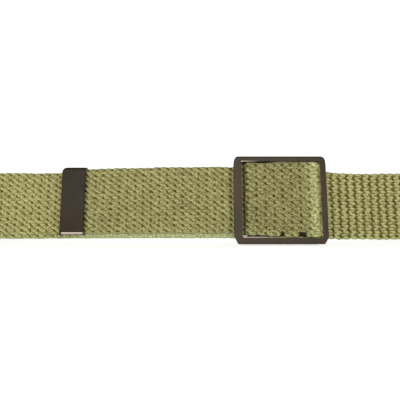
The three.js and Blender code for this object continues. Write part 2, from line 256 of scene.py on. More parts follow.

# Tint of the weave, and how red, green and blue change in places: painted shade on the free
# layer, in the window and in the notches, painted light over the turn, along the window's lower
# edge and beside the right bar, and a greener lower edge
TINT = 0.98
PAINTED_SHADE_ON_FREE_LAYER = 0.13
PAINTED_SHADE_IN_WINDOW = 0.25
NOTCH_SHADE = (0.93, 0.94, 0.94)
PAINTED_LIGHT = (0.54, 0.64, 0.72)
PAINTED_LIGHT_AT_LOWER_EDGE = 0.45
PAINTED_LIGHT_AT_RIGHT_BAR = 1.5
GREENER_LOWER_EDGE = (-0.06, 0.03, -0.02)
SMOOTH_AND_LIT_OVER_BAR = 0.2


def along_route(s):
    """Place, heading, width and height of the route at the lengths s from the fixed end."""
    x, y, heading, width, height = (np.zeros_like(s) for _ in range(5))
    at = np.array([FIXED_END, front_y])
    facing = math.pi
    before = (WEB_WIDTH, lower_height)
    start = 0.0
    for length, turn, end_width, end_height in route:
        last = start + length >= WEB_LENGTH - MM / 100
        here = (s >= start) & (s < start + length + last)
        u = np.clip((s[here] - start) / length, 0, 1)
        swept = facing + turn * u
        if abs(turn) < 1e-9:
            x[here] = at[0] + length * u * math.cos(facing)
            y[here] = at[1] + length * u * math.sin(facing)
            end = at + length * np.array([math.cos(facing), math.sin(facing)])
        else:
            radius = length / turn
            x[here] = at[0] + radius * (np.sin(swept) - math.sin(facing))
            y[here] = at[1] - radius * (np.cos(swept) - math.cos(facing))
            end = at + radius * np.array(
                [
                    math.sin(facing + turn) - math.sin(facing),
                    math.cos(facing) - math.cos(facing + turn),
                ]
            )
        ease = u * u * (3 - 2 * u)
        heading[here] = swept
        width[here] = before[0] + (end_width - before[0]) * ease
        height[here] = before[1] + (end_height - before[1]) * ease
        at = end
        facing += turn
        start += length
        before = (end_width, end_height)
    return x, y, heading, width, height


def ramp_up(value, low, high):
    """0 below low and 1 above high, eased between."""
    share = np.clip((value - low) / (high - low), 0, 1)
    return share * share * (3 - 2 * share)


def between(value, low, high, soft):
    """1 between low and high, easing to 0 over soft on each side of both."""
    return ramp_up(value, low - soft, low + soft) * (1 - ramp_up(value, high - soft, high + soft))


def eased_between(s, low, high, soft):
    """1 between low and high, easing to 0 over soft outside them."""
    up = np.clip((s - low) / soft + 1, 0, 1)
    down = np.clip((high - s) / soft + 1, 0, 1)
    share = np.minimum(up, down)
    return share * share * (3 - 2 * share)


def counted_picks():
    """Fine marks along the webbing, and the picks up to each. In the window they stand wider."""
    marks = np.linspace(0, WEB_LENGTH, MARKS)
    opened = eased_between(marks, over_bar_at, left_bar_at, PITCH_EASE)
    pitch = PICK + (PICK_OVER_BAR - PICK) * opened
    return marks, np.concatenate([[0], np.cumsum(1 / pitch[1:]) * (marks[1] - marks[0])])


def ring_picks():
    """The picks and lengths at which the webbing has a ring of points, more of them in front."""
    marks, counted = counted_picks()
    total = counted[-1]
    at = [0.0]
    while at[-1] < total:
        s = np.interp(at[-1], counted, marks)
        covered = s <= front_left_end - SEEN_LEFT_LENGTH
        seen_left = front_left_end - SEEN_LEFT_LENGTH < s < front_left_end + SEEN_PAST_LEFT
        if seen_left or s > front_right_start - SEEN_PAST_RIGHT:
            per_pick = RINGS_IN_SIGHT
        else:
            per_pick = RINGS_COVERED if covered else RINGS_BEHIND
        at.append(at[-1] + 1 / per_pick)
    at[-1] = total
    picks = np.array(at)
    return picks, np.interp(picks, counted, marks)


def cosine(value):
    return value.cosine() if isinstance(value, Wire) else np.cos(value)


def crown_shape(u, j, t, odd, right, window, jitter):
    """How far a point of a warp row stands out, how near it is to the middle of a crown, and
    its phase from crown to crown.

    u counts picks and t goes from -1 to 1 across row j. Left of the buckle the crowns lean
    into slanted ridges, and in its window they lean less. Right of it two crowns crowd
    together into each upright rib. The numbers are plain, or wires in a material.
    """
    side = 1 - 2 * odd
    lean = LEAN - right * (LEAN + LEAN_ON_RIGHT * side) - window * (LEAN - LEAN_IN_WINDOW)
    phase = math.pi * (u - j - CROWDING_ON_RIGHT * right * side) + lean * t + jitter
    near = 0.5 + 0.5 * cosine(phase)
    skewed = 0.5 + 0.5 * cosine(phase - SKEW * (1 - right) * (1 - 0.5 * window) * near)
    trough = (JUST_OVER_ONE - skewed) ** 2.0
    depth = TROUGH - odd * (ODD_TROUGH_SHALLOWER - ODD_TROUGH_ON_RIGHT * right)
    seam = t**4 * (SEAM + SEAM_IN_WINDOW * window + SEAM_ON_RIGHT * right)
    seam = seam * (1 - SEAM_FADES_BY_CROWN * near)
    return 1 - depth * trough - seam - ODD_ROW_LOWER * odd, near, phase


def rib_groove(u, right):
    """The upright groove after every second pick, right of the buckle."""
    return right * (0.5 + 0.5 * cosine(math.pi * (u - 1.5))) ** 6


def notches(x):
    return sum(between(x, low, high, 0.5 * MM) for low, high in NOTCHES)


def upper_reach(s, x):
    """How far the webbing's upper edge stands up in the window, more near its two ends."""
    reach = between(x, 48 * MM, slide_x + 4 * MM, 2 * MM) * UPPER_REACH_NEAR_BAR
    at_left = between(x, window_left, window_left + 7 * MM, 4 * MM)
    reach = reach + at_left * UPPER_REACH_AT_LEFT
    return reach * eased_between(s, over_bar_at, left_bar_at, MM)


def lower_lift(x):
    """How far the lower edge stands up in the window: up at the notches, else down a little."""
    reach = between(x, 39 * MM, slide_x + 4 * MM, MM) * LOWER_REACH
    return notches(x) * NOTCH_LIFT - reach


def pressed_forward(s):
    """How far the webbing is pressed forward, against the right bar, as it turns over the bar."""
    turned = s - over_bar_at
    forward = PRESSED_AT_TURN - PRESSED_LESS_AFTER * ramp_up(turned, 0.9 * MM, 2 * MM)
    fading = 1 - ramp_up(turned, 2.4 * MM, 3.6 * MM)
    return forward * ramp_up(turned, -0.6 * MM, 0.6 * MM) * fading


def edge_bulge(s, x):
    """How far the lower layer's edge bulges forward under the free end and the metal."""
    pressed = between(x, TIP_RIGHT + 2 * MM, FRAME_LEFT + 4 * MM, 2 * MM)
    covered = between(x, TIP_LEFT, FRAME_RIGHT, 2 * MM) * (s <= front_left_end)
    return (BULGE + BULGE_UNDER_FREE_END * pressed) * covered


def webbing_looks(s, x, across):
    """Painted shade in the pits beside the metal (opened), smoothness with its painted light, and
    tint with painted shade and light, along the webbing and across it.

    across goes from -1 at the lower edge to 1 at the upper one.
    """
    stretch = {
        "lower": s <= front_left_end,
        "window": (s > over_bar_at) & (s < left_bar_at),
        "free": s >= left_bar_end,
        "right": (s > front_right_start - 5 * MM) & (s < over_bar_at),
    }
    window = stretch["window"]
    from_bottom = (across + 1) * WEB_WIDTH / 2

    # Painted shade beside the metal: where the webbing bends past the bars and the tip, its pits
    # and its tint are painted darker
    by_right_bar = 1 - ramp_up(x, FRAME_RIGHT + 1 * MM, FRAME_RIGHT + 7 * MM)
    opened = PITS_SHADED_BY_RIGHT_BAR * by_right_bar * stretch["right"]
    darker = np.zeros_like(s)
    for name, low, high, soft, shades_pits, darkens in SHADE_BESIDE_METAL:
        bend = between(x, low, high, soft) * stretch[name]
        opened = opened + shades_pits * bend
        darker = darker + darkens * bend

    # The lower layer's edge under the free end and the turn over the sliding bar are smoother, and
    # are painted lighter with the pale pressed colour as painted light
    under_free = between(x, TIP_RIGHT - 6 * MM, FRAME_RIGHT, 3 * MM) * stretch["lower"]
    pressed = under_free * (1 - ramp_up(from_bottom, 2.3 * MM, 3.4 * MM))
    over_edge = ramp_up(x, slide_x - 5.5 * MM, slide_x + 2.5 * MM) * window
    smooth_and_lit = np.maximum(pressed, SMOOTH_AND_LIT_OVER_BAR * over_edge)

    # Tint: painted shade on the free layer, in the window and in the notches, painted light over
    # the turn, along the window's lower edge and beside the right bar, and a greener lower edge
    low_edge = 1 - ramp_up(from_bottom, 0.6 * MM, 3.2 * MM)
    in_notch = notches(x) * window * (1 - ramp_up(from_bottom, 0.9 * MM, 1.8 * MM))
    shade, painted_light, green = (
        np.array(each)[:, None] for each in (NOTCH_SHADE, PAINTED_LIGHT, GREENER_LOWER_EDGE)
    )
    tint = np.ones((3, len(s)))
    tint *= TINT - PAINTED_SHADE_ON_FREE_LAYER * (s >= left_bar_at) - PAINTED_SHADE_IN_WINDOW * window
    tint *= 1 - darker
    tint *= 1 - shade * in_notch
    tint *= 1 + painted_light * np.maximum(over_edge, PAINTED_LIGHT_AT_LOWER_EDGE * low_edge * window)
    tint *= 1 + PAINTED_LIGHT_AT_RIGHT_BAR * ramp_up(x, slide_x + 1.2 * MM, slide_x + 4 * MM) * window
    tint *= 1 + green * low_edge * (stretch["right"] + stretch["lower"])
    return opened, smooth_and_lit, tint


def edge_wander(s):
    """Low wandering of the upper edge, the lower edge and the face at the lengths s."""
    random = np.random.default_rng(WANDER_SEED)
    wander = np.zeros((3, len(s)))
    for size, wave in WANDER_WAVES:
        phase = random.uniform(0, 2 * math.pi, 3)
        for edge in range(3):
            wander[edge] += size * np.sin(2 * math.pi * s / wave + phase[edge])
    return wander


def face_relief(picks, right, in_window, tight):
    """Places across the outer face, from -1 to 1, and how far it stands out along each."""
    table = np.random.default_rng(JITTER_SEED).uniform(-1, 1, (int(picks[-1]) + 3, ROWS + 1))
    nearest = np.clip(np.rint(picks).astype(int), 0, len(table) - 1)
    across, out = [], []
    for j in range(ROWS):
        for t in ROW_SHARES + ((1,) if j == ROWS - 1 else ()):
            rows = [(j, t)]
            if abs(t) == 1 and 0 < j + t < ROWS:
                rows.append((j + t, -t))
            shape = 0
            for row, share in rows:
                shift = CROWN_JITTER * table[nearest, row]
                one = crown_shape(picks, row, share, row % 2, right, in_window, shift)[0]
                shape = shape + one / len(rows)
            rise = RELIEF * (2 * shape - 1) * (1 - FLATTER_OVER_BAR * tight)
            sunk = FACE_DEPTH * (1 - tight) - OUT_OVER_BAR * tight
            across.append((j + 0.5 + t / 2) / ROWS * 2 - 1)
            out.append(rise - sunk - RIB_GROOVE * rib_groove(picks, right))
    return across, out


def section_rings(picks, width, across, out):
    """The section's points: how far out each is, its place across and its row.

    They run up the outer face from the lower edge, over the top edge, down the inner face and
    back over the bottom edge.
    """
    half = width / 2 - FACE_INSET
    scallop = SCALLOP * np.cos(math.pi * picks)
    top = width / 2 + EDGE_BEYOND + scallop
    bottom = -width / 2 - EDGE_BEYOND - scallop
    flat = np.zeros_like(picks)
    ring = []
    for k, place in enumerate(across):
        inset = EDGE_ROUNDING if k in (0, len(across) - 1) else 0
        ring.append((WEB_HALF + out[k] - inset, place * half, (place + 1) / 2 * ROWS))
    ring.append((flat + EDGE_FRONT, top, ROWS - 0.5))
    ring.append((flat + EDGE_BACK, top - EDGE_BEYOND, ROWS - 0.5))
    for j in range(ROWS, -1, -2):
        share = min(max(j / ROWS, 0.02), 0.98)
        wave = INNER_WAVE * np.cos(math.pi * picks + j)
        inset = EDGE_ROUNDING if j in (ROWS, 1) else 0
        ring.append((-WEB_HALF + INNER_DEPTH + wave + inset, (2 * share - 1) * half, share * ROWS))
    ring.append((flat + EDGE_BACK, bottom + EDGE_BEYOND, 0.5))
    ring.append((flat + EDGE_FRONT, bottom, 0.5))
    return ring


def link_piece(name, corners, faces):
    """A new smooth mesh in the scene."""
    mesh = bpy.data.meshes.new(name)
    mesh.from_pydata(corners, [], faces)
    mesh.update()
    mesh.shade_smooth()
    piece = bpy.data.objects.new(name, mesh)
    bpy.context.scene.collection.objects.link(piece)
    return piece


def webbing_piece():
    """The whole woven webbing as one closed mesh, with what its material reads at each point."""
    picks, s = ring_picks()
    picks = picks + PICK_START
    x, y, heading, width, height = along_route(s)
    count = len(s)
    right = ramp_up(s, front_right_start - RIBS_BEGIN, front_right_start - RIBS_FULL)
    right *= 1 - ramp_up(s, over_bar_at, over_bar_at + 4 * MM)
    window = (s > over_bar_at) & (s < left_bar_at)
    in_window = eased_between(s, over_bar_at, left_bar_at, 3 * MM)
    tight = eased_between(s, over_bar_at - MM, over_bar_at + wrap_radius * TURN_IN_ANGLE, MM)

    across, out = face_relief(picks, right, in_window, tight)
    ring = section_rings(picks, width, across, out)
    outer = len(across)
    wander = edge_wander(s)
    notch = lower_lift(x) * window
    reach_up = upper_reach(s, x)
    behind_bar = between(x, 46 * MM, slide_x + 4 * MM, 2 * MM) * window * BEHIND_BAR_LIFT
    to_bar = pressed_forward(s)
    bulge = edge_bulge(s, x)

    size = len(ring)
    points, weave, look, tints, strap = (np.zeros((count, size, 3)) for _ in range(5))
    for k, (side, up, row) in enumerate(ring):
        share = up / width + 0.5
        drift = wander[0] * share + wander[1] * (1 - share)
        from_bottom = share * width
        outside = 1 if k < outer else 0
        in_front = outside or k == size - 1
        lift = notch * (1 - ramp_up(from_bottom, 0.8 * MM, 4 * MM)) * in_front
        lift = lift + reach_up * ramp_up(from_bottom, width - 3 * MM, width - 0.5 * MM)
        lift = lift + behind_bar * (k == outer + 1)
        lift = lift + behind_bar * (k == outer) * ramp_up(x, slide_x + 0.6 * MM, slide_x + 2 * MM)
        # opened is the painted shade in the pits beside the metal; tint holds painted shade and
        # light
        opened, smooth_and_lit, tint = webbing_looks(s, x, 2 * share - 1)
        pushed = bulge * (1 - ramp_up(from_bottom, 1.6 * MM, 3.4 * MM)) * (side > -0.2 * MM)
        side = side + wander[2] * FACE_DRIFT + pushed + to_bar * outside
        points[:, k, 0] = x - side * np.sin(heading)
        points[:, k, 1] = y + side * np.cos(heading)
        points[:, k, 2] = height + up + drift * DRIFT + lift
        weave[:, k] = np.stack([picks, np.full(count, row), right], axis=1)
        look[:, k] = np.stack([opened * outside, smooth_and_lit, in_window], axis=1)
        tints[:, k] = tint.T
        strap[:, k] = np.stack([s, up, np.abs(up) / (width / 2)], axis=1)

    # Quads between neighbouring rings, and a face on each end
    around = np.arange(size)[None, :]
    first = np.arange(count - 1)[:, None] * size
    a = first + around
    b = first + (around + 1) % size
    faces = np.stack([a, b, b + size, a + size], axis=-1).reshape(-1, 4).tolist()
    faces.append(list(range(size - 1, -1, -1)))
    faces.append(list(range((count - 1) * size, count * size)))
    piece = link_piece("webbing_woven", points.reshape(-1, 3).tolist(), faces)
    for name, values in (("weave", weave), ("look", look), ("tint", tints), ("strap", strap)):
        layer = piece.data.attributes.new(name, "FLOAT_VECTOR", "POINT")
        layer.data.foreach_set("vector", values.ravel())
    return piece


# Loose fibres: how many, how they taper, lie and rise, and the turn and radius over the bar
FIBRE_SEED = 21
FIBRE_SIDES = 4
FIBRE_RINGS = 5
FIBRES_OVER_BAR = 330
FIBRES_ON_EDGES = 0.6
FIBRE_TAPER = 0.55
FIBRE_LIE = 0.9 * MM
TURNS_OVER_BAR = (0.35, 1.05)
RADII_OVER_BAR = (0.06 * MM, 0.12 * MM)
RISES_ON_EDGES = (0.25 * MM, 0.55 * MM)
RISES_ON_FACE = (0.2 * MM, 0.45 * MM)

# Where they grow: lengths from and to, distance apart, edges that they are on, and radius
FIBRE_STRETCHES = [
    (front_left_end - 45 * MM, front_left_end, 0.28 * MM, (-1, 1), 0.035 * MM),
    (front_right_start, turn_in_at, 0.28 * MM, (-1, 1), 0.035 * MM),
    (left_bar_end + MM, WEB_LENGTH - 9 * MM, 0.28 * MM, (-1, 1), 0.035 * MM),
    (over_bar_at + 3 * MM, left_bar_at - 3 * MM, 0.1 * MM, (1,), 0.07 * MM),
]


def strand(start, control, end, radius):
    """Corners and faces of a thin tapering yarn on a quadratic curve."""
    corners, faces = [], []
    for k in range(FIBRE_RINGS):
        u = k / (FIBRE_RINGS - 1)
        centre = (1 - u) ** 2 * start + 2 * u * (1 - u) * control + u**2 * end
        along = 2 * (1 - u) * (control - start) + 2 * u * (end - control)
        along = along / np.linalg.norm(along)
        first = np.cross(along, (0.3, -0.5, 0.81))
        first = first / np.linalg.norm(first)
        second = np.cross(along, first)
        for side in range(FIBRE_SIDES):
            turn = 2 * math.pi * side / FIBRE_SIDES
            spread = first * math.cos(turn) + second * math.sin(turn)
            corners.append(centre + spread * radius * (1 - FIBRE_TAPER * u))
    for k in range(FIBRE_RINGS - 1):
        for side in range(FIBRE_SIDES):
            a = k * FIBRE_SIDES + side
            b = k * FIBRE_SIDES + (side + 1) % FIBRE_SIDES
            faces.append((a, b, b + FIBRE_SIDES, a + FIBRE_SIDES))
    faces.append(tuple(range(FIBRE_SIDES - 1, -1, -1)))
    faces.append(tuple(range((FIBRE_RINGS - 1) * FIBRE_SIDES, FIBRE_RINGS * FIBRE_SIDES)))
    return corners, faces


def fibres_over_bar(random):
    """Fibres from the webbing's turn over the sliding bar to the window's right edge."""
    reach = wrap_radius + WEB_HALF + 0.12 * MM
    strands = []
    for _ in range(FIBRES_OVER_BAR):
        turn = random.uniform(*TURNS_OVER_BAR)
        z = random.uniform(BOTTOM_BAR + 0.6 * MM, BOTTOM_BAR + window_height - 0.9 * MM)
        start_depth = slide_depth + reach * math.cos(turn)
        start = np.array([slide_x + reach * math.sin(turn), front_y - start_depth, z])
        end = np.array([window_right, front_y - frame_front, z])
        end += np.array(random.uniform((0.0, -0.35, -0.5), (0.5, -0.1, 0.5))) * MM
        control = np.array([0.4 * start[0] + 0.6 * window_right, end[1] + 0.1 * MM, z])
        strands.append((start, control, end, random.uniform(*RADII_OVER_BAR)))
    return strands


def loose_fibre(random, first, last, edges, radius):
    """One short fibre on a long edge or on the face of a stretch of the webbing."""
    s = np.array([random.uniform(first, last)])
    x, y, heading, width, height = (float(each[0]) for each in along_route(s))
    along = np.array([math.cos(heading), math.sin(heading), 0])
    out = np.array([-math.sin(heading), math.cos(heading), 0])
    if random.uniform() < FIBRES_ON_EDGES:
        up = random.choice(edges)
        start = np.array([x, y, height + up * (width / 2 - 0.1 * MM)])
        start[2] += float(upper_reach(s, x)[0])
        start += out * random.uniform(-0.7, 0.7) * WEB_HALF
        rise = np.array([0, 0, up]) * random.uniform(*RISES_ON_EDGES)
    else:
        start = np.array([x, y, height + random.uniform(-0.44, 0.44) * width])
        start += out * (WEB_HALF - 0.25 * MM)
        rise = out * random.uniform(*RISES_ON_FACE)
    lie = along * random.uniform(-FIBRE_LIE, FIBRE_LIE)
    lie[2] += random.uniform(-0.5, 0.5) * MM * (abs(rise[2]) < 0.1 * MM)
    return start, start + rise * 1.3 + lie * 0.4, start + rise * 0.7 + lie, radius


def fibres_piece():
    """Loose fibres on the webbing's long edges and face, and over the window's right edge."""
    random = np.random.default_rng(FIBRE_SEED)
    strands = fibres_over_bar(random)
    for first, last, apart, edges, radius in FIBRE_STRETCHES:
        for _ in range(int((last - first) / apart)):
            strands.append(loose_fibre(random, first, last, edges, radius))
    corners, faces = [], []
    for each in strands:
        points, sides = strand(*each)
        faces += [tuple(len(corners) + k for k in face) for face in sides]
        corners += [tuple(point) for point in points]
    return link_piece("webbing_fibres", corners, faces)


def feed(tree, socket, value):
    """Link a wire or a socket to an input, or set the input to a number or a colour."""
    if isinstance(value, Wire):
        value = value.socket
    if isinstance(value, bpy.types.NodeSocket):
        tree.links.new(value, socket)
    else:
        socket.default_value = value


class Wire:
    """A number in a node tree that can be used in formulas."""

    def __init__(self, tree, socket):
        self.tree = tree
        self.socket = socket

    def node(self, operation, *others, clamp=False):
        """The result of a math node on this number and the others."""
        node = self.tree.nodes.new("ShaderNodeMath")
        node.operation = operation
        node.use_clamp = clamp
        for socket, value in zip(node.inputs, (self, *others)):
            feed(self.tree, socket, value)
        return Wire(self.tree, node.outputs[0])

    def __add__(self, other):
        return self.node("ADD", other)

    def __sub__(self, other):
        return self.node("SUBTRACT", other)

    def __rsub__(self, other):
        return self.node("MULTIPLY_ADD", -1.0, other)

    def __mul__(self, other):
        return self.node("MULTIPLY", other)

    def __pow__(self, other):
        return self.node("POWER", other)

    def cosine(self):
        return self.node("COSINE")

    def clamped(self):
        return self.node("ADD", 0.0, clamp=True)

    __radd__ = __add__
    __rmul__ = __mul__


def new_material(name, **settings):
    """A material with its shader's own sockets set, its node tree and that shader."""
    material = bpy.data.materials.new(name)
    material.use_nodes = True
    shader = material.node_tree.nodes["Principled BSDF"]
    for key, value in settings.items():
        shader.inputs[key.replace("_", " ")].default_value = value
    return material, material.node_tree, shader


def add(tree, kind, **inputs):
    """A node with its named inputs set to values or linked to sockets."""
    node = tree.nodes.new(kind)
    for key, value in inputs.items():
        feed(tree, node.inputs[key.replace("_", " ")], value)
    return node


def noise(tree, place, scale, detail):
    node = add(tree, "ShaderNodeTexNoise", Vector=place, Scale=scale, Detail=detail)
    return Wire(tree, node.outputs["Fac"])


def attribute(tree, name):
    """The three numbers of a point attribute, and its vector socket."""
    node = tree.nodes.new("ShaderNodeAttribute")
    node.attribute_name = name
    parts = add(tree, "ShaderNodeSeparateXYZ", Vector=node.outputs["Vector"])
    return [Wire(tree, socket) for socket in parts.outputs], node.outputs["Vector"]


def mix_colour(tree, factor, first, second, blend="MIX"):
    node = tree.nodes.new("ShaderNodeMix")
    node.data_type = "RGBA"
    node.blend_type = blend
    for key, value in ((0, factor), (6, first), (7, second)):
        feed(tree, node.inputs[key], value)
    return node.outputs[2]


def ramp(tree, factor, stops):
    """A colour from stops, each with its place and its red, green and blue."""
    node = tree.nodes.new("ShaderNodeValToRGB")
    feed(tree, node.inputs[0], factor)
    elements = node.color_ramp.elements
    while len(elements) < len(stops):
        elements.new(0.5)
    for element, (place, colour) in zip(elements, stops):
        element.position = place
        element.color = (*colour, 1)
    return node.outputs[0]


def add_bump(tree, shader, relief, distance, strength):
    bump = add(tree, "ShaderNodeBump", Strength=strength, Distance=distance, Height=relief)
    feed(tree, shader.inputs["Normal"], bump.outputs[0])


def soft_step(value, low, high):
    """0 below low and 1 above high, for a value in a material's formula."""
    return ((value - low) * (1 / (high - low))).clamped()


def band(value, low, high, soft):
    """1 between low and high and 0 beyond soft outside them, in a material's formula."""
    return soft_step(value, low - soft, low) * (1 - soft_step(value, high, high + soft))


# Colours of the canvas: yarn from deep, painted in shade, to raised, painted in light; pits
# painted as shade; pressed yarn painted lighter as light from below; and the long edges
YARN_COLOURS = [
    (0.0, (0.118, 0.105, 0.026)),
    (0.40, (0.212, 0.194, 0.064)),
    (0.72, (0.318, 0.294, 0.114)),
    (1.0, (0.470, 0.438, 0.196)),
]
PIT_SHADE_COLOUR = (0.030, 0.023, 0.003, 1)
PRESSED_AND_LIT_COLOUR = (0.56, 0.54, 0.29, 1)
EDGE_COLOUR = (0.36, 0.38, 0.165, 1)
BLOTCHES = [(0.3, (0.93, 0.93, 0.91)), (0.7, (1.05, 1.05, 1.04))]
SPECKLES = [(0.3, (0.55, 0.55, 0.46)), (0.7, (1.29, 1.29, 1.33))]
FIBRE_COLOURS = [(0.3, (0.40, 0.38, 0.14)), (0.7, (0.66, 0.65, 0.31))]

# Grain of the canvas, in marks to the metre, and the slope of its yarn
WAVER_SCALE = 420.0
FUZZ_SCALE = 1100.0
BLOTCH_SCALE = 70.0
SPECKLE_SCALE = 1200.0
YARN_ACROSS = 1500
YARN_ALONG = 600
YARN_SLOPE = 0.6
FIBRE_GRAIN_SCALE = 700.0
TWIST_LENGTH = 0.32 * MM
TWIST_SLOPE = 0.75
GLINT_PHASE = math.radians(112)
CROWN_SHIFT = 0.6
CROWN_WAVER = 0.7
EDGE_BEGINS = 0.95
EDGE_FULL = 0.99

# Pits and the ribs' grooves, painted dark as shade: how sharp and dark they are, how dark in
# every second row, and how much darker in the painted shade beside the metal
PIT_SHARPNESS = 8.0
SHARPER_IN_WINDOW = 3
DARK_AT_LEAST = 0.75
DARK_VARIES = 0.35
ODD_PIT_DARK = 0.15
DARKER_IN_PAINTED_SHADE = 0.3
ODD_DARKER_IN_PAINTED_SHADE = 0.7
GROOVE_WANDER = 0.12
GROOVE_DARK = 0.75
GROOVE_DARK_BETWEEN = 0.16

# How much each thing lightens or darkens the yarn; the knobs and the glint are painted highlight
# and shade
KNOB_LEVEL = 0.58
KNOBS_SHADE = 0.8
GLINT_SHADE = 0.35
TONE_SHADE = 0.25
FUZZ_SHADE = 1.1
FUZZ_MORE_IF_GRAINY = 0.8
STRANDS_SHADE = 1.6
GRAINY_ON_RIGHT = 0.9

# How high each thing stands in the canvas's fine relief
CROWNS_HIGH = 2.4
PITS_DEEP = 0.7
PRESSED_FLATTER = 0.8
TWIST_HIGH = 0.4
TWIST_WANDER = 0.4 * MM
LUMPS_HIGH = 2.6
TONE_HIGH = 0.8
STRANDS_HIGH = 3
CANVAS_BUMP = 0.09 * MM
CANVAS_BUMP_STRENGTH = 0.65


def fibre_material():
    material, tree, shader = new_material("fibres", Roughness=0.9, Specular_IOR_Level=0.2)
    place = add(tree, "ShaderNodeTexCoord").outputs["Object"]
    colour = ramp(tree, noise(tree, place, FIBRE_GRAIN_SCALE, 2.0), FIBRE_COLOURS)
    feed(tree, shader.inputs["Base Color"], colour)
    return material


def crown_numbers(tree, u, row):
    """Three random numbers of the crown that a point is in: its tone, shift and strength."""
    crown = ((u - row) * 0.5 + 0.5).node("FLOOR")
    cell = add(tree, "ShaderNodeCombineXYZ", X=crown, Y=row)
    random = add(tree, "ShaderNodeTexWhiteNoise", Vector=cell.outputs[0])
    parts = add(tree, "ShaderNodeSeparateColor", Color=random.outputs["Color"])
    sockets = (random.outputs["Value"], parts.outputs[0], parts.outputs[1])
    return [Wire(tree, socket) for socket in sockets]


def slanted_yarn(tree, along, up):
    """Noise that is drawn out along the strands of the yarn, from -0.5 to 0.5."""
    across_yarn = (up - along * YARN_SLOPE) * YARN_ACROSS
    along_yarn = (along + up * YARN_SLOPE) * YARN_ALONG
    place = add(tree, "ShaderNodeCombineXYZ", X=across_yarn, Y=along_yarn)
    return noise(tree, place.outputs[0], 1.0, 2.0) - 0.5


